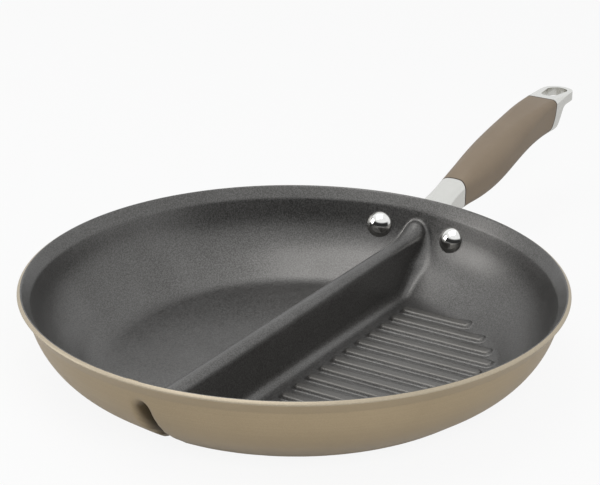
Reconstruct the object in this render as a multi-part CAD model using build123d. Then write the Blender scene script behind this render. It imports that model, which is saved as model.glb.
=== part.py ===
from build123d import *
import os
from math import asin, cos, degrees, hypot, radians, sin, sqrt

# A divided frying pan. Sizes are in millimetres and angles in degrees.
# The origin is the centre of the base on the surface that the pan stands on.
# X runs along the divider to the handle, the smooth side is at +Y and the ribbed side at -Y.

# Pan body: one sheet, drawn to a round pan with a folded divider across its middle
rim_radius = 158.75
pan_height = 54.0
sheet = 3.0
wall_spread = 48.75
base_bend = 20.0
slope_angle = 36.0
shoulder_bend = 50.0
wall_angle = 72.0
lip_bend = 4.0
lip_angle = 55.0
lip_length = 7.5
base_radius = rim_radius - wall_spread

# Divider: a hollow fold whose crest runs level and sweeps up into the wall at both ends
crest_height = 35.7
crest_radius = 5.5
divider_draft = 5.0
divider_fillet = 6.0
mouth_round = 3.0
crest_flat_half = 124.0
crest_sweep = 57.0

# Ribs raised on the floor of the grill side
rib_count = 14
rib_pitch = 14.0
rib_width = 8.2
rib_height = 2.2
rib_edge = 1.6
rib_shift = 4.5
rib_gap_to_divider = 13.6
rib_end_radius = 118.0
rib_reach = 103.0

# Rivets through the wall and the bracket
rivet_height = 34.3
rivet_edge_distance = 11.3
rivet_shank_radius = 3.2
rivet_dome_radius = 7.9
rivet_dome_height = 4.4
rivet_dome_lift = 0.7
rivet_tail_radius = 6.0
rivet_tail_height = 2.0

# Handle bracket: a curved plate that lies on the outside of the wall
bracket_seat_gap = 0.1
bracket_thickness = 3.5
bracket_width = 74.0
bracket_low = 23.0
bracket_high = 45.0
bracket_corner = 9.0
rivet_spacing = bracket_width - 2 * rivet_edge_distance

# Handle: each station is its distance past the rim, its centre's height over the rim,
# its half width, its half height and its corner radius
neck_stations = [
    (-10.0, -20.0, 20.0, 9.5, 7.0),
    (4.0, -17.2, 13.0, 9.0, 6.0),
    (20.0, -13.4, 9.6, 8.8, 5.0),
    (38.0, -9.4, 9.8, 9.6, 5.5),
]
grip_stations = [
    (56.0, -7.2, 12.0, 12.4, 9.5),
    (81.0, -3.0, 14.0, 14.6, 12.0),
    (106.0, 2.6, 14.0, 13.6, 11.0),
    (131.0, 7.4, 13.0, 12.0, 8.0),
    (151.0, 9.6, 12.4, 11.4, 5.5),
    (168.0, 9.7, 12.2, 11.3, 3.8),
]
seam_reach = 38.5
seam_bow = 20.0
far_seam_reach = 168.0
far_seam_radius = 22.0
far_seam_drop = 2.5
tang_side_cover = 3.5
tang_top_cover = 5.5
corner_limit = 0.96

# Hanging end: the steel comes out of the grip as a block that thins to a flat loop.
# The heel's points are each a length past the seam and a height over the grip's underside.
loop_tip_reach = 204.5
loop_radius = 11.0
loop_thickness = 5.6
loop_hole_radius = 7.2
loop_hole_narrow_radius = 5.8
loop_hole_length = 25.5
loop_top_drop = 1.9
heel_lead = 8.0
heel_slope = 0.2
heel_points = [(3.2, 3.9), (8.5, 9.3), (12.2, 13.6)]
heel_blend_length = 22.8


def heading(angle):
    """Returns the direction in the section plane that climbs at an angle."""
    return Vector(cos(radians(angle)), sin(radians(angle)))


def straight_runs():
    """Returns the lengths of the slope and the wall that bring the lip to the rim's radius and height."""
    base, slope = heading(0), heading(slope_angle)
    wall, lip = heading(wall_angle), heading(lip_angle)
    radius = base_radius + base_bend * slope.Y + shoulder_bend * (wall.Y - slope.Y)
    radius += lip_bend * (wall.Y - lip.Y) + lip_length * lip.X + sheet / 2 * (1 - lip.Y)
    height = base_bend * (base.X - slope.X) + shoulder_bend * (slope.X - wall.X)
    height += lip_bend * (lip.X - wall.X) + lip_length * lip.Y + sheet / 2 * (1 + lip.X)
    short_radius = rim_radius - radius
    short_height = pan_height - height
    turn = slope.X * wall.Y - slope.Y * wall.X
    slope_run = (short_radius * wall.Y - short_height * wall.X) / turn
    wall_run = (short_height * slope.X - short_radius * slope.Y) / turn
    return slope_run, wall_run


def skin_line(inset):
    """Returns the pan's section from its axis to its lip, set in from the outside."""
    slope_run, wall_run = straight_runs()
    base = Line((0, inset), (base_radius, inset))
    foot = JernArc(base @ 1, base % 1, base_bend - inset, slope_angle)
    slope = PolarLine(foot @ 1, slope_run, direction=foot % 1)
    shoulder = JernArc(slope @ 1, slope % 1, shoulder_bend - inset, wall_angle - slope_angle)
    wall = PolarLine(shoulder @ 1, wall_run, direction=shoulder % 1)
    bend = JernArc(wall @ 1, wall % 1, lip_bend + inset, lip_angle - wall_angle)
    lip = PolarLine(bend @ 1, lip_length, direction=bend % 1)
    return [base, foot, slope, shoulder, wall, bend, lip]


def spun(edges):
    """Spins a closed outline in the section plane about the pan's axis."""
    return revolve(Plane.XZ * make_face(edges), Axis.Z, 360)


def outer_fill():
    """Returns the space within the outside of the pan, closed level with the inner end of the lip."""
    outside = skin_line(0)
    inside_end = skin_line(sheet)[-1] @ 1
    lip_end = JernArc(outside[-1] @ 1, outside[-1] % 1, sheet / 2, 180)
    top = Line(inside_end, (0, inside_end.Y))
    axis = Line((0, inside_end.Y), (0, 0))
    return spun(outside + [lip_end, top, axis])


def inner_fill(inset):
    """Returns the space within a skin that is set in from the outside, closed level with its lip."""
    skin = skin_line(inset)
    end = skin[-1] @ 1
    top = Line(end, (0, end.Y))
    axis = Line((0, end.Y), (0, inset))
    return spun(skin + [top, axis])


def wall_point(height, inset):
    """Returns the radius and the heading of the shoulder at a height."""
    slope = skin_line(0)[2]
    centre = (slope @ 1) + Vector(-sin(radians(slope_angle)), cos(radians(slope_angle))) * shoulder_bend
    bend = shoulder_bend - inset
    radius = centre.X + sqrt(bend**2 - (centre.Y - height) ** 2)
    angle = degrees(asin((radius - centre.X) / bend))
    return radius, angle


def divider_sweep(inset):
    """Sweeps the divider's section, set in from its top side, along the crest."""
    radius = crest_radius - inset
    side = radians(divider_draft)
    depth = crest_height + pan_height / 2
    high = Vector(radius * cos(side), radius * sin(side) - crest_radius)
    low = high + Vector(sin(side), -cos(side)) * depth
    outline = [
        ThreePointArc((-high.X, high.Y), (0, -inset), (high.X, high.Y)),
        Line((high.X, high.Y), (low.X, low.Y)),
        Line((low.X, low.Y), (-low.X, low.Y)),
        Line((-low.X, low.Y), (-high.X, high.Y)),
    ]
    section = make_face(outline)
    middle = Line((-crest_flat_half, crest_height), (crest_flat_half, crest_height))
    past_wall = degrees(asin((rim_radius + sheet - crest_flat_half) / crest_sweep))
    back = JernArc(middle @ 1, middle % 1, crest_sweep, past_wall)
    front = JernArc(middle @ 0, (middle % 0) * -1, crest_sweep, -past_wall)
    path = Plane.XZ * Wire([front, middle, back])
    start = path @ 0
    along = path % 0
    frame = Plane(origin=start, x_dir=(0, -1, 0), z_dir=along)
    return sweep(frame * section, path)


def mouth_edges(body, inset):
    """Returns the edges where the divider meets the round body, whose skin is set in from the outside."""
    skin = Wire(skin_line(inset))
    reach = crest_radius + pan_height * sin(radians(divider_draft)) + sheet
    found = []
    for edge in body.edges():
        box = edge.bounding_box()
        beside = max(abs(box.min.Y), abs(box.max.Y)) < reach
        on_seam = box.size.Y < 0.01 and abs(box.min.Y) < 0.01
        middle = edge @ 0.5
        on_skin = skin.distance_to(Vector(hypot(middle.X, middle.Y), middle.Z)) < 0.01
        if beside and on_skin and not on_seam and not edge.is_closed:
            found.append(edge)
    return found


def rib(x):
    """Returns one rib that runs across the grill side to a rounded end."""
    near = crest_radius + rib_gap_to_divider
    far = min(sqrt(rib_end_radius**2 - x**2), rib_reach)
    outline = Pos(x, -(near + far) / 2, sheet / 2) * Rot(0, 0, 90) * SlotOverall(far - near, rib_width)
    bar = extrude(outline, sheet / 2 + rib_height)
    return fillet(bar.faces().sort_by(Axis.Z)[-1].edges(), rib_edge)


def rivet_axes():
    """Returns the two planes at the wall's inside whose normals point into the pan."""
    radius, angle = wall_point(rivet_height, sheet)
    turn = asin(rivet_spacing / 2 / radius)
    lean_in, lean_up = sin(radians(angle)), cos(radians(angle))
    planes = []
    for side in (1, -1):
        across = Vector(cos(turn), side * sin(turn), 0)
        planes.append(Plane(
            origin=across * radius + Vector(0, 0, rivet_height),
            x_dir=(-side * sin(turn), cos(turn), 0),
            z_dir=across * -lean_in + Vector(0, 0, lean_up),
        ))
    return planes


def rivet_hole(seat):
    """Returns the cylinder that a rivet fills in the wall and the bracket."""
    depth = sheet + bracket_seat_gap + bracket_thickness + rivet_tail_height
    return seat * Pos(0, 0, -depth / 2) * Cylinder(rivet_shank_radius, depth + sheet)


def pan_body():
    """Returns the pan: the drawn sheet with its hollow divider, its ribs and its rivet holes."""
    outside = outer_fill() - divider_sweep(sheet)
    outside = fillet(mouth_edges(outside, 0), mouth_round)
    inside = inner_fill(sheet) - divider_sweep(0)
    inside = fillet(mouth_edges(inside, sheet), divider_fillet)
    body = outside - inside
    for index in range(rib_count):
        body += rib((index - (rib_count - 1) / 2) * rib_pitch + rib_shift)
    for seat in rivet_axes():
        body -= rivet_hole(seat)
    return body


def bracket():
    """Returns the curved plate that follows the outside of the wall."""
    seat = skin_line(-bracket_seat_gap)
    back = skin_line(-bracket_seat_gap - bracket_thickness)
    ends = [Line(seat[-1] @ 1, back[-1] @ 1), Line(back[0] @ 0, seat[0] @ 0)]
    ring = spun(seat + back + ends)
    height = bracket_high - bracket_low
    blank = RectangleRounded(bracket_width, height, bracket_corner)
    middle = Plane(origin=(0, 0, (bracket_low + bracket_high) / 2), x_dir=(0, 1, 0), z_dir=(1, 0, 0))
    return ring & extrude(middle * blank, rim_radius + bracket_width)


def handle_loft(stations, side_cover, top_cover):
    """Lofts the handle through its stations, set in by a cover at the sides and at the top."""
    sections = []
    for reach, rise, half_width, half_height, corner in stations:
        plane = Plane(origin=(rim_radius + reach, 0, pan_height + rise), x_dir=(0, 1, 0), z_dir=(1, 0, 0))
        width = half_width - side_cover
        height = half_height - top_cover
        round_corner = min(corner, width * corner_limit, height * corner_limit)
        sections.append(plane * RectangleRounded(2 * width, 2 * height, round_corner))
    return loft(sections)


def grip_zone():
    """Returns the space between the two seams of the grip. The far seam curves back under the handle."""
    length = far_seam_reach - seam_reach + seam_bow
    box = Box(length, bracket_width, pan_height * 2, align=(Align.MIN, Align.CENTER, Align.CENTER))
    box = Pos(rim_radius + seam_reach - seam_bow, 0, pan_height) * box
    tongue = Pos(rim_radius + seam_reach - seam_bow, 0, pan_height) * Cylinder(seam_bow, pan_height * 2)
    rise, half_width, half_height = grip_stations[-1][1:4]
    curve = rim_radius + far_seam_reach - far_seam_radius
    curve_top = pan_height + rise + half_height - far_seam_drop
    corner = Box(far_seam_radius, bracket_width, pan_height * 2, align=(Align.MIN, Align.CENTER, Align.MAX))
    corner = Pos(curve, 0, curve_top) * corner
    corner -= Pos(curve, 0, curve_top) * Rot(90, 0, 0) * Cylinder(far_seam_radius, bracket_width * 2)
    return box - tongue - corner


def under_heel():
    """Returns the space under the hanging end, up to the curve that runs from the grip to the loop."""
    rise, half_width, half_height = grip_stations[-1][1:4]
    seam = rim_radius + far_seam_reach
    tip = rim_radius + loop_tip_reach + loop_radius
    bottom = pan_height + rise - half_height
    loop_low = pan_height + rise + half_height - loop_top_drop - loop_thickness
    begin = (seam - heel_lead, bottom)
    end = (seam + heel_blend_length, loop_low)
    points = [(seam + length, bottom + height) for length, height in heel_points]
    side = [
        Spline(begin, *points, end, tangents=[(1, heel_slope), (1, 0)]),
        Line(end, (tip, loop_low)),
        Line((tip, loop_low), (tip, 0)),
        Line((tip, 0), (begin[0], 0)),
        Line((begin[0], 0), begin),
    ]
    return extrude(Plane.XZ * make_face(side), bracket_width, both=True)


def hanging_end():
    """Returns the block behind the grip and the flat loop that the pan hangs by."""
    rise, half_width, half_height, corner = grip_stations[-1][1:5]
    start = rim_radius + far_seam_reach
    tip = rim_radius + loop_tip_reach
    top = pan_height + rise + half_height
    loop_top = top - loop_top_drop
    side = [
        Line((start, 0), (tip, 0)),
        Line((tip, 0), (tip, loop_top)),
        Line((tip, loop_top), (start, top)),
        Line((start, top), (start, 0)),
    ]
    profile = extrude(Plane.XZ * make_face(side), half_width * 2, both=True)
    root_plane = Plane(origin=(start, 0, pan_height + rise), x_dir=(0, 1, 0), z_dir=(1, 0, 0))
    bar = extrude(root_plane * RectangleRounded(2 * half_width, 2 * half_height, corner), loop_tip_reach)
    eye = tip - loop_radius
    root = Edge.make_line((start, -half_width), (start, half_width))
    plan = make_hull((Pos(eye, 0) * Circle(loop_radius)).edges() + [root])
    block = (profile & extrude(plan, pan_height * 3)) & bar
    hole_end = eye + loop_hole_radius - loop_hole_length + loop_hole_narrow_radius
    narrow = Pos(hole_end, 0) * Circle(loop_hole_narrow_radius)
    hole = make_hull((Pos(eye, 0) * Circle(loop_hole_radius)).edges() + narrow.edges())
    return block - extrude(hole, pan_height * 3)


def handle_core():
    """Returns the cast steel handle: bracket, neck, tang through the grip and hanging loop."""
    whole = handle_loft(neck_stations + grip_stations, 0, 0)
    ends = whole - grip_zone() - Pos(rim_radius + far_seam_reach, 0, 0) * Box(
        bracket_width, bracket_width, pan_height * 4, align=(Align.MIN, Align.CENTER, Align.CENTER)
    )
    tang = handle_loft(neck_stations[-2:] + grip_stations, tang_side_cover, tang_top_cover)
    ends -= inner_fill(-bracket_seat_gap - bracket_thickness / 2)
    core = (ends + hanging_end() - under_heel()) + tang + bracket()
    for seat in rivet_axes():
        core -= rivet_hole(seat)
    return core


def handle_grip():
    """Returns the silicone sleeve moulded round the tang."""
    whole = handle_loft(neck_stations + grip_stations, 0, 0)
    tang = handle_loft(neck_stations[-2:] + grip_stations, tang_side_cover, tang_top_cover)
    return (whole & grip_zone()) - tang


def rivet(seat, body, core):
    """Returns a rivet with a domed head in the pan, a shank and a flat head on the bracket."""
    ball = (rivet_dome_radius**2 + rivet_dome_height**2) / (2 * rivet_dome_height)
    top = rivet_dome_lift + rivet_dome_height
    dome = seat * Pos(0, 0, top - ball) * Sphere(ball)
    dome &= seat * Cylinder(rivet_dome_radius, 2 * top)
    depth = sheet + bracket_seat_gap + bracket_thickness
    shank = seat * Pos(0, 0, -depth / 2) * Cylinder(rivet_shank_radius, depth + sheet)
    tail = seat * Pos(0, 0, -depth) * Cylinder(rivet_tail_radius, 2 * rivet_tail_height)
    whole = (dome + shank + tail) - body - core
    return whole.solids().sort_by(SortBy.VOLUME)[-1]


os.makedirs("parts", exist_ok=True)
body = pan_body()
core = handle_core()
parts = {"pan_body": body, "handle_core": core, "handle_grip": handle_grip()}
for name, seat in zip(("rivet_griddle_side", "rivet_grill_side"), rivet_axes()):
    parts[name] = rivet(seat, body, core)
for name, shape in parts.items():
    export_step(shape, f"parts/{name}.step")
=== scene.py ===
from math import asin, atan2, cos, pi, radians, sin, sqrt

import bmesh
import bpy
import numpy as np
from mathutils import Matrix, Vector


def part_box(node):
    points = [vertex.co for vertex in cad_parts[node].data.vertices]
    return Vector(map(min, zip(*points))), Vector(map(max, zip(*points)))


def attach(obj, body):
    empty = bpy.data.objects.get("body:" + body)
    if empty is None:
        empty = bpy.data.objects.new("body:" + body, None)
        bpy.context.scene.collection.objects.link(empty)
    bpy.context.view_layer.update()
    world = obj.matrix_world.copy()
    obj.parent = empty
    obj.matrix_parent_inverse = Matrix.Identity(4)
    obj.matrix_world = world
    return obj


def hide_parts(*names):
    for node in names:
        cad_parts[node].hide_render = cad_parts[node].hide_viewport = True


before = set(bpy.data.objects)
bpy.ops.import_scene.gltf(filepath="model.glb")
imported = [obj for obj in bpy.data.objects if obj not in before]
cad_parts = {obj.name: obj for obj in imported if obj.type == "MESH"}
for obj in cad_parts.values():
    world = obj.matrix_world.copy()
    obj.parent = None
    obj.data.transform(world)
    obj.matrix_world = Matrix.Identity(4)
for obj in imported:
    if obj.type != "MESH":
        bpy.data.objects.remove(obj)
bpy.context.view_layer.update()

# The camera looks down over the pan's front edge at the handle, as in the photograph.
# Its place was found from the rim's ellipse and the parallel ribs. The image is 600 wide.
rim_plane_height = 0.054
look_azimuth = radians(-58.3465)
look_elevation = radians(21.9871)
look_roll = radians(0.41855)
look_distance = 1.155
look_aside = 0.0032785
look_above = 0.0208446
nearest_seen = 0.01
focal_pixels = 2007.73
image_width = 600
film_width = 36

to_camera = Vector((
    sin(look_azimuth) * cos(look_elevation),
    -cos(look_azimuth) * cos(look_elevation),
    sin(look_elevation),
))
level_right = Vector((cos(look_azimuth), sin(look_azimuth), 0))
level_up = to_camera.cross(level_right)
camera_right = level_right * cos(look_roll) + level_up * sin(look_roll)
camera_up = level_up * cos(look_roll) - level_right * sin(look_roll)
camera = bpy.data.objects.new("camera", bpy.data.cameras.new("camera"))
camera.data.sensor_width = film_width
camera.data.lens = focal_pixels / image_width * film_width
camera.data.clip_start = nearest_seen
facing = Matrix((camera_right, camera_up, to_camera)).transposed().to_4x4()
stand = to_camera * look_distance + camera_right * look_aside + camera_up * look_above
camera.matrix_world = Matrix.Translation(stand + Vector((0, 0, rim_plane_height))) @ facing
bpy.context.collection.objects.link(camera)
bpy.context.scene.camera = camera


# Floor and light: a white table top under an even sky, lit by soft lamps over the pan, on its
# left and in front of it. Straight looks see the room white. Mirrored looks see a greyer table
# and a dark gap low down in front, for contrast on the metal, and don't see the front lamp.
class Shade:
    """One socket of a material. Its operators add Math nodes, and node() adds any other node."""

    def __init__(self, tree, socket=None):
        self.tree = tree
        self.socket = socket

    def node(self, kind, sockets=None, **settings):
        """Adds a node, sets it up, fills its sockets and returns its first output."""
        made = self.tree.nodes.new(kind)
        for name, value in settings.items():
            setattr(made, name, value)
        for name, value in (sockets or {}).items():
            if isinstance(value, Shade):
                self.tree.links.new(value.socket, made.inputs[name])
            else:
                made.inputs[name].default_value = value
        return Shade(self.tree, made.outputs[0] if made.outputs else None)

    def out(self, name):
        """Returns another output of the same node."""
        return Shade(self.tree, self.socket.node.outputs[name])

    def maths(self, operation, first, second):
        """Adds a Math node."""
        return self.node("ShaderNodeMath", {0: first, 1: second}, operation=operation)

    def __add__(self, other):
        return self.maths("ADD", self, other)

    def __sub__(self, other):
        return self.maths("SUBTRACT", self, other)

    def __rsub__(self, other):
        return self.maths("SUBTRACT", other, self)

    def __mul__(self, other):
        return self.maths("MULTIPLY", self, other)

    def __abs__(self):
        return self.maths("ABSOLUTE", self, 0)

    __radd__ = __add__
    __rmul__ = __mul__

    def rise(self, low, high, start=0.0, end=1.0):
        """Goes smoothly from start, where this is low, to end, where it is high."""
        return self.node(
            "ShaderNodeMapRange",
            {"Value": self, "From Min": low, "From Max": high, "To Min": start, "To Max": end},
            interpolation_type="SMOOTHSTEP",
        )

    def fall(self, low, high):
        """Goes smoothly from 1, where this is low, to 0, where it is high."""
        return self.rise(low, high, 1, 0)

    def tint(self, low, high):
        """Returns a colour that goes from low, where this is 0, to high, where it is 1."""
        return self.node("ShaderNodeMix", {0: self, 6: low, 7: high}, data_type="RGBA").out(2)


def material(name):
    """Makes an empty material and returns it with the start of its nodes."""
    made = bpy.data.materials.new(name)
    made.use_nodes = True
    made.node_tree.nodes.clear()
    return made, Shade(made.node_tree)


floor_half = 4
floor_matt = (0.6, 0.6, 0.6, 1)
floor_glow = 0.9
floor_mirrored = 0.25
plain_white = (1, 1, 1, 1)
sky_colour = (0.97, 0.985, 1, 1)
sky_level = 0.5
room_level = 0.95
gap_depth = 0.92
gap_foot = (0.04, 0.1)
gap_top = (0.46, 0.66)
gap_side = (-0.3, 0.1)

floor_paint, shade = material("floor_paint")
path = shade.node("ShaderNodeLightPath")
seen = (path.out("Is Camera Ray") + path.out("Is Transmission Ray")) * floor_glow
seen = seen + path.out("Is Glossy Ray") * floor_mirrored
matt = shade.node("ShaderNodeBsdfDiffuse", {"Color": floor_matt})
glow = shade.node("ShaderNodeEmission", {"Color": plain_white, "Strength": 1.0})
mixed = shade.node("ShaderNodeMixShader", {0: seen, 1: matt, 2: glow})
shade.node("ShaderNodeOutputMaterial", {"Surface": mixed})

mesh = bpy.data.meshes.new("floor")
bm = bmesh.new()
bmesh.ops.create_grid(bm, x_segments=1, y_segments=1, size=floor_half)
bm.to_mesh(mesh)
bm.free()
floor = bpy.data.objects.new("floor", mesh)
floor.data.materials.append(floor_paint)
bpy.context.collection.objects.link(floor)

sky = bpy.data.worlds.new("sky")
sky.use_nodes = True
sky.node_tree.nodes.clear()
shade = Shade(sky.node_tree)
path = shade.node("ShaderNodeLightPath")
seen = path.out("Is Camera Ray")
mirrored = path.out("Is Glossy Ray")
towards = shade.node("ShaderNodeSeparateXYZ", {0: shade.node("ShaderNodeTexCoord").out("Generated")})
upward = towards.out("Z")
gap = upward.rise(*gap_foot) * upward.fall(*gap_top) * towards.out("X").fall(*gap_side)
level = mirrored * (room_level - gap * gap_depth - sky_level) + sky_level
light = shade.node("ShaderNodeBackground", {"Color": sky_colour, "Strength": level})
white = shade.node("ShaderNodeBackground", {"Color": plain_white, "Strength": 1.0})
mixed = shade.node("ShaderNodeMixShader", {0: seen, 1: light, 2: white})
shade.node("ShaderNodeOutputWorld", {"Surface": mixed})
bpy.context.scene.world = sky
bpy.context.scene.view_settings.view_transform = "Standard"

# A lamp is a square sheet: its name, its place, what it points at, its side, its power, and
# whether mirrored looks see it.
lamps = [
    ("lamp_over", (-0.15, 0.35, 1.5), (0, 0, 0), 1.1, 7.5, True),
    ("lamp_left", (-0.6, 1.25, 0.6), (0, 0, 0.03), 0.7, 6, True),
    ("lamp_front", (-0.85, -1.05, 1.1), (0.05, 0, 0.03), 0.9, 15, False),
]
for name, stand, target, side, power, in_mirrors in lamps:
    lamp = bpy.data.objects.new(name, bpy.data.lights.new(name, "AREA"))
    lamp.data.size = side
    lamp.data.energy = power
    lamp.location = stand
    lamp.rotation_euler = (Vector(target) - Vector(stand)).to_track_quat("-Z", "Y").to_euler()
    lamp.visible_glossy = in_mirrors
    bpy.context.collection.objects.link(lamp)


# Pan body: one 3 mm aluminium sheet, drawn to a flared bowl and folded up into a hollow divider
# across the middle, with ribs raised on the grill side. The outside is anodised bronze, and the
# inside has a dark speckled non-stick coat up to the burnished lip.
rim_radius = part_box("pan_body")[1].y
sheet = 0.003
wall_spread = 0.04875
base_radius = rim_radius - wall_spread
base_bend = 0.017
shoulder_bend = 0.047
lip_bend = 0.007
slope_run = 0.014
wall_run = 0.00777
lip_run = 0.0079
lip_edge = 0.0006
slope_angle = radians(36)
wall_angle = radians(72)
lip_angle = radians(55)

# The inside's section, from the middle of the base to the lip, is walked as straight runs and
# bends: each has a length, a turn and a number of rings.
runs_and_bends = [
    (base_radius, 0, 1),
    (base_bend * slope_angle, slope_angle, 6),
    (slope_run, 0, 6),
    (shoulder_bend * (wall_angle - slope_angle), wall_angle - slope_angle, 14),
    (wall_run, 0, 4),
    (lip_bend * (wall_angle - lip_angle), lip_angle - wall_angle, 4),
    (lip_run, 0, 5),
]
run_points = 60
heading = 0.0
section = [np.array((0.0, sheet))]
marks = []
for length, turned, ring_count in runs_and_bends:
    for piece in range(run_points):
        middle = heading + turned * (piece + 0.5) / run_points
        section.append(section[-1] + length / run_points * np.array((cos(middle), sin(middle))))
    heading += turned
    newest = len(section) - 1
    marks += [newest - round(run_points * back / ring_count) for back in reversed(range(ring_count))]
section = np.array(section)
climb = section[run_points:]
walked = np.concatenate([[0], np.cumsum(np.hypot(*np.diff(section, axis=0).T))])

# The divider's crest is level in the middle, and widens and sweeps up at both ends. Inside, it
# ends in a rounded nose by the handle. The valley between divider and bowl is rounded by more or
# less with the height, and the fold's mouth under the pan is tight.
crest_height = 0.0357
crest_radius = 0.0055
crest_flat_half = 0.124
crest_sweep = 0.057
crest_flare = 0.0022
flare_length = 0.022
divider_draft = radians(5)
nose_sweep = 0.042
nose_end = 0.1485
nose_round = 0.005
valley_heights = (0.007, 0.018, 0.034)
valley_rounds = (0.0055, 0.0085, 0.0024)
mouth_round = 0.002
least_sheet = 0.0022
least_gap = 1e-12
least_slope = 0.05
tiny = 1e-6


def smooth(share):
    """Eases a share between 0 and 1 at both ends."""
    return share**2 * (3 - 2 * share)


def bowl_height(points):
    """Returns the height of the bowl's inside above or below points."""
    return np.interp(np.hypot(points[..., 0], points[..., 1]), *section.T)


def blended(bowl, fold, fillet):
    """Joins the distances off the bowl and off the fold with a rounded valley between them."""
    nearest = np.maximum(fillet, np.minimum(bowl, fold))
    return nearest - np.hypot(np.maximum(fillet - bowl, 0), np.maximum(fillet - fold, 0))


def off_fold(points, sweep):
    """Returns how far points stand off the divider alone, whose ends sweep up."""
    x, y, z = np.moveaxis(points, -1, 0)
    past = np.maximum(np.abs(x) - crest_flat_half, 0)
    radius = crest_radius + crest_flare * smooth(np.minimum(past / flare_length, 1))
    over = sweep - np.hypot(past, crest_height + sweep - z) + radius
    side = np.abs(y) * cos(divider_draft) + over * sin(divider_draft)
    crest = np.hypot(y, over)
    return np.where(over > np.abs(y) * np.tan(divider_draft), crest, side) - radius


def above_pan(points):
    """Returns how far points stand off the inside, with the divider blended into the bowl."""
    x, y, z = np.moveaxis(points, -1, 0)
    rise = z - bowl_height(points)
    reach = np.abs(np.interp(z, climb[:, 1], climb[:, 0]) - np.hypot(x, y))
    bowl = rise * reach / (np.hypot(rise, reach) + least_gap)
    fold = -blended(-off_fold(points, nose_sweep), nose_end - x, nose_round)
    return blended(bowl, fold, np.interp(z, valley_heights, valley_rounds))


def under_pan(points):
    """Returns how far points stand off the outside, whose fold has a tight mouth."""
    apart = np.hypot(points[..., :1], points[..., 1:2]) - climb[:, 0]
    bowl = np.hypot(apart, points[..., 2:] - climb[:, 1]).min(-1)
    on_base = np.hypot(points[..., 0], points[..., 1]) < base_radius
    bowl = np.where(on_base, sheet - points[..., 2], bowl)
    bowl = np.where(points[..., 2] > bowl_height(points), bowl, -np.abs(bowl))
    under = blended(bowl + sheet, off_fold(points, crest_sweep) + sheet, mouth_round)
    return np.maximum(under, above_pan(points) + least_sheet)


def settle(points, surface):
    """Moves points straight onto a surface, given as the distance that points stand off it."""
    off = surface(points)
    slope = np.stack([(surface(points + tiny * axis) - off) / tiny for axis in np.eye(3)], axis=-1)
    return points - (off / np.maximum((slope**2).sum(-1), least_slope))[..., None] * slope


# The floor is one grid of columns and rows. Columns keep to the ribs, and the outer ones fan
# out to the floor's edge. Rows are close on the divider and at both ends of a rib.
rib_count = 14
rib_pitch = 0.014
rib_shift = 0.0045
rib_half_width = 0.0041
rib_height = 0.0022
rib_foot = 0.0006
rib_shoulder = 0.0014
rib_near = 0.0191
rib_end_radius = 0.1168
rib_reach = 0.103
millimetre = 0.001
rib_columns = np.array((0, 1.5, 2.6, 3.1, 3.5, 3.9, 4.3, 4.8, 5.6)) * millimetre
rib_end_rows = np.array((-4, -2.8, -1.9, -1.2, -0.6, 0, 0.6, 1.6)) * millimetre
rib_run_rows = 8
past_rib_rows = 5
past_rib_room = 0.004
griddle_rows = 12
fold_rows = 40
fold_half = 0.0168
floor_edge = 0.122
fan_columns = 6
fan_angle = radians(28)

rib_middles = (np.arange(rib_count) - (rib_count - 1) / 2) * rib_pitch + rib_shift
rib_fars = np.minimum(np.sqrt(rib_end_radius**2 - rib_middles**2), rib_reach)
offsets = np.concatenate([-rib_columns[:0:-1], rib_columns])
columns = np.concatenate([middle + offsets for middle in rib_middles])
columns = np.concatenate([columns, rib_middles + rib_pitch / 2, [rib_middles[0] - rib_pitch / 2]])
columns = np.sort(columns)
front_fan, back_fan = (
    floor_edge * np.cos(np.linspace(np.arccos(start / floor_edge), fan_angle, fan_columns + 1)[1:])
    for start in (-columns[0], columns[-1])
)
shares = np.arange(1, fan_columns + 1) / fan_columns
columns = np.concatenate([-front_fan[::-1], columns, back_fan])
bows = np.concatenate([shares[::-1], np.zeros(len(columns) - 2 * fan_columns), shares])

floor_grid = []
for column, bow in zip(columns, bows):
    reach = sqrt(floor_edge**2 - column**2)
    away = np.abs(rib_middles - column)
    on_rib = away.min() < rib_columns[-1] + tiny
    far = rib_fars[away.argmin()] if on_rib else np.interp(column, rib_middles, rib_fars)
    far = min(far, reach - past_rib_room)
    near_end = -rib_near + rib_end_rows[::-1]
    far_end = -far - rib_end_rows
    y = np.concatenate([
        np.linspace(reach, fold_half, griddle_rows + 1)[:-1],
        np.linspace(fold_half, -fold_half, fold_rows + 1),
        near_end,
        np.linspace(near_end[-1], far_end[0], rib_run_rows + 1)[1:-1],
        far_end,
        np.linspace(far_end[-1], -reach, past_rib_rows + 1)[1:],
    ])
    arc = np.sqrt(np.maximum(floor_edge**2 - y**2, column**2)) - abs(column)
    floor_grid.append(np.stack([column + np.sign(column) * bow * arc, y, 0 * y], axis=-1))
floor_grid = np.array(floor_grid)
floor_grid[..., 2] = bowl_height(floor_grid)

# Rings climb from the floor's edge to the lip, one point on each for every point of that edge.
first_ring_gap = 0.001
ring_points = section[marks]
ring_points = ring_points[ring_points[:, 0] > floor_edge + first_ring_gap]
edge = np.concatenate([
    floor_grid[-1, :-1], floor_grid[:0:-1, -1], floor_grid[0, :0:-1], floor_grid[:-1, 0]
])
edge_angle = np.arctan2(np.abs(edge[:, 1]), np.abs(edge[:, 0]))
on_fold = np.abs(edge[:, 1]) < fold_half + tiny
fold_start = np.arcsin(fold_half / floor_edge)
rings = [edge]
for radius, height in ring_points:
    fold_edge = np.arcsin(fold_half / radius)
    spread = fold_edge + (edge_angle - fold_start) * (pi / 2 - fold_edge) / (pi / 2 - fold_start)
    angle = np.where(on_fold, np.arcsin(np.minimum(np.abs(edge[:, 1]) / radius, 1)), spread)
    x = np.sign(edge[:, 0]) * radius * np.cos(angle)
    y = np.sign(edge[:, 1]) * radius * np.sin(angle)
    rings.append(np.stack([x, y, height + 0 * x], axis=-1))
rings = np.array(rings)

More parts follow.
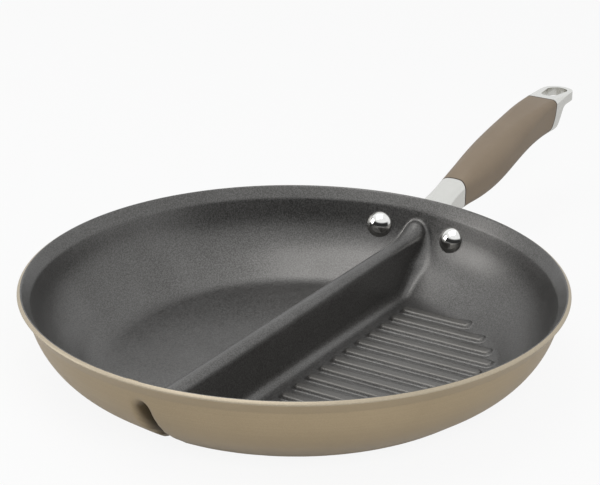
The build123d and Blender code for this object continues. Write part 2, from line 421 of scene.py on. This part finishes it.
# The divider's strip runs from lip to lip. It starts as upright sides with a flat crest, and is
# then evened out and settled onto the pan's smooth inside again and again.
fold_top = 0.049
inside_evenings = 90
first, last = griddle_rows, griddle_rows + fold_rows
back_rings = rings[1:, first:last + 1]
front_at = len(floor_grid[-1]) - 1 + len(floor_grid) - 1 + (len(floor_grid[0]) - 1 - last)
front_rings = rings[1:, front_at:front_at + fold_rows + 1][:, ::-1]
strip = np.concatenate([front_rings[::-1], floor_grid[:, first:last + 1], back_rings])
swept = np.clip(section[:, 0] - crest_flat_half, 0, nose_sweep)
crest_line = crest_height + nose_sweep - np.sqrt(nose_sweep**2 - swept**2)
meets = np.argmax(crest_line < section[:, 1])
free = strip[:, 0, 2] < fold_top
for index in np.flatnonzero(free):
    station = strip[index].copy()
    foot_x, foot_z = abs(station[0, 0]), station[0, 2]
    foot_walk = np.interp(np.hypot(*station[0, :2]), section[:, 0], walked)
    share = np.clip((foot_walk - walked[run_points]) / (walked[meets] - walked[run_points]), 0, 1)
    if share == 1:
        continue
    crest_x = base_radius + share * (section[meets, 0] - base_radius) if share > 0 else foot_x
    crest_z = np.interp(crest_x, section[:, 0], crest_line)
    height = np.hypot(crest_x - foot_x, crest_z - foot_z)
    flat = fold_half - crest_radius
    along = np.array((0, flat, flat + height, fold_half + height))
    place = (1 - np.abs(np.linspace(-1, 1, fold_rows + 1))) * along[-1]
    up = np.interp(place, along, (0, 0, 1, 1))
    aside = np.interp(place, along, (fold_half, crest_radius, crest_radius, 0))
    strip[index, :, 0] = np.sign(station[0, 0]) * (foot_x + up * (crest_x - foot_x))
    strip[index, :, 1] = np.sign(np.linspace(1, -1, fold_rows + 1)) * aside
    strip[index, :, 2] = foot_z + up * (crest_z - foot_z)
    strip[index, 0], strip[index, -1] = station[0], station[-1]
inner = strip[1:-1, 1:-1]
for evening in range(inside_evenings):
    even = (strip[:-2, 1:-1] + strip[2:, 1:-1] + strip[1:-1, :-2] + strip[1:-1, 2:]) / 4
    inner[free[1:-1]] = settle((inner + even) / 2, above_pan)[free[1:-1]]
floor_grid[:, first:last + 1] = strip[len(back_rings):-len(back_rings)]
rings[1:, first:last + 1] = strip[-len(back_rings):]
rings[1:, front_at:front_at + fold_rows + 1] = strip[len(back_rings) - 1::-1, ::-1]
rings[0, first:last + 1] = floor_grid[-1, first:last + 1]
rings[0, front_at:front_at + fold_rows + 1] = floor_grid[0, last:first - 1:-1]


def shaped_grid(bm, points):
    """Adds a grid and moves its points to a table of places."""
    wide, high = len(points) - 1, len(points[0]) - 1
    made = bmesh.ops.create_grid(bm, x_segments=wide, y_segments=high, size=1)
    for vertex in made["verts"]:
        across, up = (vertex.co.x + 1) / 2 * wide, (vertex.co.y + 1) / 2 * high
        vertex.co = points[round(across)][round(up)]


# The floor and the rings are joined to one skin, which gets the sheet's thickness outwards and
# rounded edges at the lip.
lip_depth = 0.0003
lip_rise = 0.0001
lip_segments = 3
bm = bmesh.new()
shaped_grid(bm, floor_grid)
shaped_grid(bm, np.concatenate([rings, rings[:, :1]], axis=1))
bmesh.ops.remove_doubles(bm, verts=bm.verts, dist=tiny)
bmesh.ops.recalc_face_normals(bm, faces=bm.faces)
if sum(face.normal.z for face in bm.faces) < 0:
    bmesh.ops.reverse_faces(bm, faces=bm.faces)
bmesh.ops.solidify(bm, geom=bm.faces[:], thickness=sheet)
lip_reach = [v.co.xy.length * cos(lip_angle) + v.co.z * sin(lip_angle) for v in bm.verts]
lip_end = max(lip_reach)
lip_points = {v for v, reach in zip(bm.verts, lip_reach) if reach > lip_end - lip_depth}
lip_edges = [
    e for e in bm.edges
    if e.verts[0] in lip_points and e.verts[1] in lip_points
    and abs(e.verts[0].co.z - e.verts[1].co.z) < lip_rise
]
bmesh.ops.bevel(
    bm, geom=lip_edges, offset=lip_edge, offset_type="OFFSET", segments=lip_segments,
    profile=0.5, affect="EDGES", material=-1,
)
mesh = bpy.data.meshes.new("pan")
bm.to_mesh(mesh)
bm.free()

# Under the divider, the outside is evened out and settled in the same way, and never goes below
# the base. Ribs then rise from the inside's floor to one level.
outside_evenings = 30
skin_reach = sheet / 6
fold_reach = fold_half * 2
points = np.zeros((len(mesh.vertices), 3), np.float32)
mesh.vertices.foreach_get("co", points.ravel())
points = points.astype(float)
on_inside = np.abs(above_pan(points)) < skin_reach
by_fold = ~on_inside & (np.abs(points[:, 1]) < fold_reach) & (points[:, 2] < fold_top)
pairs = np.zeros((len(mesh.edges), 2), np.int32)
mesh.edges.foreach_get("vertices", pairs.ravel())
pairs = pairs[by_fold[pairs].any(1)]
counts = np.bincount(pairs.ravel(), minlength=len(points))[by_fold, None]
for evening in range(outside_evenings):
    total = np.zeros_like(points)
    np.add.at(total, pairs[:, 0], points[pairs[:, 1]])
    np.add.at(total, pairs[:, 1], points[pairs[:, 0]])
    points[by_fold] = settle((points[by_fold] + total[by_fold] / counts) / 2, under_pan)
points[:, 2] = np.maximum(points[:, 2], 0)
nearest_rib = np.abs(points[:, :1] - rib_middles).argmin(1)
far = rib_fars[nearest_rib]
run = np.clip(points[:, 1], -far + rib_half_width, -rib_near - rib_half_width)
past_edge = np.hypot(points[:, 0] - rib_middles[nearest_rib], points[:, 1] - run) - rib_half_width
share = smooth(np.clip((rib_foot - past_edge) / (rib_foot + rib_shoulder), 0, 1))
stands = rib_height - (points[:, 2] - sheet) / 2
points[:, 2] += on_inside * (points[:, 1] < 0) * stands * share
mesh.vertices.foreach_set("co", points.astype(np.float32).ravel())

# Each face is bronze outside, coated inside, or burnished at the end of the lip.
coat_overlap = 0.0003
middles = np.zeros((len(mesh.polygons), 3), np.float32)
mesh.polygons.foreach_get("center", middles.ravel())
off_inside = above_pan(middles.astype(float))
out_to = np.hypot(middles[:, 0], middles[:, 1]) * cos(lip_angle) + middles[:, 2] * sin(lip_angle)
burnished = (out_to > lip_end - lip_edge) & (off_inside < -lip_edge)
finish = np.where(burnished, 2, off_inside > -coat_overlap)
mesh.polygons.foreach_set("material_index", finish.astype(np.int32))
mesh.shade_smooth()
mesh.update()


def noise(place, scale, roughness, detail=2):
    """Returns noise over a place."""
    sockets = {"Vector": place, "Scale": scale, "Detail": detail, "Roughness": roughness}
    return place.node("ShaderNodeTexNoise", sockets)


def spread(grain, start=0.0, end=1.0):
    """Stretches noise, most of which lies between 0.3 and 0.7, over a range."""
    return grain.rise(0.3, 0.7, start, end)


def from_origin(place):
    """Returns a place's distance from the origin."""
    return place.node("ShaderNodeVectorMath", {0: place}, operation="LENGTH").out("Value")


# Bronze: grained, a little uneven, and brushed round by the lathe. Inside the fold's open
# end, painted shade darkens its colour, where no light gets in.
bronze_dark = (0.325, 0.25, 0.15, 1)
bronze_light = (0.395, 0.306, 0.19, 1)
# Painted shade in the fold's open end: its colour, where it is painted and how deep.
notch_shade = (0.03, 0.022, 0.013, 1)
notch_side = (0.004, 0.007)
notch_top = (0.033, 0.039)
notch_depth = (0.122, 0.15)
edge_shade = 0.45
deep_shade = 0.4
bronze_roughness = (0.36, 0.44)
bronze_paint, shade = material("anodised_bronze")
place = shade.node("ShaderNodeTexCoord").out("Object")
apart = shade.node("ShaderNodeSeparateXYZ", {0: place})
height = apart.out("Z")
grain = noise(place, scale=1400, roughness=0.6)
patch = noise(place, scale=30, roughness=0.5)
level_rings = shade.node("ShaderNodeCombineXYZ", {2: height})
turned = noise(level_rings, scale=900, roughness=0.5)
tone = spread(grain * 0.5 + turned * 0.25 + patch * 0.25)
# Painted shade: the colour darkens in the fold's open end under the pan, most further in.
notch_shade_mask = abs(apart.out("Y")).fall(*notch_side) * height.fall(*notch_top)
painted_notch_shade = notch_shade_mask * (abs(apart).rise(*notch_depth, deep_shade, 0) + edge_shade)
bump = shade.node("ShaderNodeBump", {
    "Height": grain * 0.5 + turned * 0.5, "Strength": 0.12, "Distance": 0.0001,
})
surface = shade.node("ShaderNodeBsdfPrincipled", {
    "Base Color": painted_notch_shade.tint(tone.tint(bronze_dark, bronze_light), notch_shade),
    "Metallic": 0.2, "Roughness": spread(grain, *bronze_roughness), "Normal": bump,
})
shade.node("ShaderNodeOutputMaterial", {"Surface": surface})

# Coat: black with fine metal flakes. The tops of the ribs are painted a little lighter, a painted
# highlight.
coat_dark = (0.084, 0.081, 0.077, 1)
coat_light = (0.178, 0.174, 0.168, 1)
# The painted highlight on the rib tops: its colour, its share, and the heights and ends it keeps to.
rib_highlight = (0.20, 0.187, 0.168, 1)
rib_highlight_share = 0.3
rib_highlight_foot = (0.0036, 0.005)
rib_highlight_top = (0.0056, 0.0066)
rib_highlight_near = (-0.019, -0.0175)
rib_highlight_far = (0.112, 0.1165)
flake_span = (0.34, 0.68)
gloss_span = (0.35, 0.65)
coat_roughness = (0.3, 0.44)
coat_paint, shade = material("speckled_coat")
place = shade.node("ShaderNodeTexCoord").out("Object")
apart = shade.node("ShaderNodeSeparateXYZ", {0: place})
height = apart.out("Z")
speckle = noise(place, scale=1150, roughness=0.7)
patch = noise(place, scale=22, roughness=0.5)
tone = speckle.rise(*flake_span) * 0.8 + spread(patch) * 0.2
from_middle = from_origin(shade.node("ShaderNodeCombineXYZ", {0: apart, 1: apart.out("Y")}))
# Painted highlight: rib tops on the grill side are lighter, between foot and top heights, short of the
# edge.
raised = height.rise(*rib_highlight_foot) * height.fall(*rib_highlight_top)
raised = raised * apart.out("Y").fall(*rib_highlight_near) * from_middle.fall(*rib_highlight_far)
bump = shade.node("ShaderNodeBump", {"Height": speckle, "Strength": 0.3, "Distance": 0.0002})
surface = shade.node("ShaderNodeBsdfPrincipled", {
    "Base Color": (raised * rib_highlight_share).tint(tone.tint(coat_dark, coat_light), rib_highlight),
    "Metallic": 0.85, "Specular IOR Level": 0.8,
    "Roughness": speckle.rise(*gloss_span, *coat_roughness), "Normal": bump,
})
shade.node("ShaderNodeOutputMaterial", {"Surface": surface})

# Lip: the sheet's cut end, burnished to a paler bronze.
rim_dark = (0.39, 0.331, 0.242, 1)
rim_light = (0.43, 0.366, 0.268, 1)
rim_roughness = (0.36, 0.4)
rim_paint, shade = material("burnished_rim")
grain = noise(shade.node("ShaderNodeTexCoord").out("Object"), scale=900, roughness=0.5)
surface = shade.node("ShaderNodeBsdfPrincipled", {
    "Base Color": spread(grain).tint(rim_dark, rim_light),
    "Metallic": 0.4, "Roughness": spread(grain, *rim_roughness),
})
shade.node("ShaderNodeOutputMaterial", {"Surface": surface})

pan = bpy.data.objects.new("pan", mesh)
for paint in (bronze_paint, coat_paint, rim_paint):
    pan.data.materials.append(paint)
bpy.context.collection.objects.link(pan)
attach(pan, "root")
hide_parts("pan_body")


# Handle core: one casting in satin stainless steel, riveted to the pan by its curved bracket.
# It runs as a tang through the grip and comes out behind it as a flat loop.
steel_dark = (0.72, 0.712, 0.675, 1)
steel_light = (0.74, 0.732, 0.695, 1)
steel_roughness = (0.24, 0.27)
streaks = (12, 300, 300)
steel_paint, shade = material("satin_steel")
place = shade.node("ShaderNodeTexCoord").out("Object")
drawn = shade.node("ShaderNodeMapping", {"Vector": place, "Scale": streaks})
grain = noise(drawn, scale=1.5, roughness=0.6, detail=3)
surface = shade.node("ShaderNodeBsdfPrincipled", {
    "Base Color": spread(grain).tint(steel_dark, steel_light),
    "Metallic": 1.0, "Roughness": spread(grain, *steel_roughness),
})
shade.node("ShaderNodeOutputMaterial", {"Surface": surface})
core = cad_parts["handle_core"]
core.data.materials.clear()
core.data.materials.append(steel_paint)


# Grip: a matte taupe silicone sleeve moulded round the tang, with a fine dark line at both
# seams. Seen from above, the near seam is an arc. Seen from the side, the far one is.
silicone_dark = (0.19, 0.144, 0.098, 1)
silicone_light = (0.22, 0.17, 0.118, 1)
seam_shade = (0.045, 0.03, 0.018, 1)
seam_fade = (0.0007, 0.0014)
near_seam_reach = 0.0385
near_seam_radius = 0.02
far_seam_reach = 0.168
far_seam_radius = 0.022
far_seam_height = 0.0725
far_seam_begins = (0.31, 0.312)
silicone_roughness = (0.5, 0.62)
grip_paint, shade = material("taupe_silicone")
place = shade.node("ShaderNodeTexCoord").out("Object")
apart = shade.node("ShaderNodeSeparateXYZ", {0: place})
near_seam_middle = rim_radius + near_seam_reach - near_seam_radius
near_place = shade.node("ShaderNodeCombineXYZ", {0: apart - near_seam_middle, 1: apart.out("Y")})
near_gap = from_origin(near_place) - near_seam_radius
far_seam_middle = rim_radius + far_seam_reach - far_seam_radius
far_place = shade.node("ShaderNodeCombineXYZ", {
    0: apart - far_seam_middle, 1: apart.out("Z") - far_seam_height,
})
far_gap = far_seam_radius - from_origin(far_place)
far_seam = apart.rise(*far_seam_begins) * far_gap.fall(*seam_fade)
clear = near_gap.rise(*seam_fade) * (1 - far_seam)
grain = noise(place, scale=1600, roughness=0.6)
patch = noise(place, scale=45, roughness=0.5)
silicone = spread(grain * 0.5 + patch * 0.5).tint(silicone_dark, silicone_light)
bump = shade.node("ShaderNodeBump", {"Height": grain, "Strength": 0.15, "Distance": 0.0001})
surface = shade.node("ShaderNodeBsdfPrincipled", {
    "Base Color": clear.tint(seam_shade, silicone),
    "Roughness": spread(grain, *silicone_roughness), "Normal": bump,
})
shade.node("ShaderNodeOutputMaterial", {"Surface": surface})
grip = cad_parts["handle_grip"]
grip.data.materials.clear()
grip.data.materials.append(grip_paint)


# Rivets: two stainless steel rivets through the wall and the bracket. Each has a polished
# domed head inside the pan, a plain shank and a flat head set against the bracket.
rivet_height = 0.0343
rivet_half_spacing = 0.0257
dome_radius = 0.0082
dome_height = 0.0044
dome_lift = 0.0007
dome_sink = 0.001
shank_radius = 0.0032
tail_radius = 0.006
tail_edge = 0.0005
tail_height = 0.002
grip_depth = 0.0066
dome_steps = 16
turns = 64
sharp_angle = radians(40)
rivet_dark = (0.84, 0.83, 0.80, 1)
rivet_light = (0.90, 0.89, 0.86, 1)
rivet_roughness = (0.03, 0.06)

rivet_paint, shade = material("polished_steel")
haze = noise(shade.node("ShaderNodeTexCoord").out("Object"), scale=500, roughness=0.5)
surface = shade.node("ShaderNodeBsdfPrincipled", {
    "Base Color": spread(haze).tint(rivet_dark, rivet_light),
    "Metallic": 1.0, "Roughness": spread(haze, *rivet_roughness),
})
shade.node("ShaderNodeOutputMaterial", {"Surface": surface})

# A rivet's section is its radius and its height along the axis, from the dome's top to the tail.
ball = (dome_radius**2 + dome_height**2) / (2 * dome_height)
dome_angles = [asin(dome_radius / ball) * step / dome_steps for step in range(dome_steps + 1)]
profile = [
    (ball * sin(angle), dome_lift + dome_height - ball * (1 - cos(angle))) for angle in dome_angles
]
profile += [
    (dome_radius, -dome_sink),
    (shank_radius, -dome_sink),
    (shank_radius, -grip_depth),
    (tail_radius, -grip_depth),
    (tail_radius, -grip_depth - tail_height + tail_edge),
    (tail_radius - tail_edge, -grip_depth - tail_height),
    (0, -grip_depth - tail_height),
]

# Each rivet leans with the wall, which is read a little higher up too, and faces the middle.
higher = 0.001
wall_radius, wall_radius_higher = (
    float(np.interp(rivet_height + rise, climb[:, 1], climb[:, 0])) for rise in (0, higher)
)
lean = atan2(higher, wall_radius_higher - wall_radius)
swing = asin(rivet_half_spacing / wall_radius)
for name, side in (("rivet_griddle_side", 1), ("rivet_grill_side", -1)):
    bm = bmesh.new()
    line = [bm.verts.new((radius, 0, along)) for radius, along in profile]
    edges = [bm.edges.new(pair) for pair in zip(line, line[1:])]
    bmesh.ops.spin(
        bm, geom=line + edges, cent=(0, 0, 0), axis=(0, 0, 1), angle=2 * pi, steps=turns, use_merge=True,
    )
    bmesh.ops.remove_doubles(bm, verts=bm.verts, dist=tiny)
    bmesh.ops.recalc_face_normals(bm, faces=bm.faces)
    outward = Vector((cos(swing), side * sin(swing), 0))
    axis = outward * -sin(lean) + Vector((0, 0, cos(lean)))
    beside = Vector((-side * sin(swing), cos(swing), 0))
    turn = Matrix((beside, axis.cross(beside), axis)).transposed().to_4x4()
    stand = outward * wall_radius + Vector((0, 0, rivet_height))
    bm.transform(Matrix.Translation(stand) @ turn)
    mesh = bpy.data.meshes.new(name + "_head")
    bm.to_mesh(mesh)
    bm.free()
    mesh.shade_smooth()
    mesh.set_sharp_from_angle(angle=sharp_angle)
    rivet = bpy.data.objects.new(name + "_head", mesh)
    rivet.data.materials.append(rivet_paint)
    bpy.context.collection.objects.link(rivet)
    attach(rivet, "root")
    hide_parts(name)

bpy.context.view_layer.update()
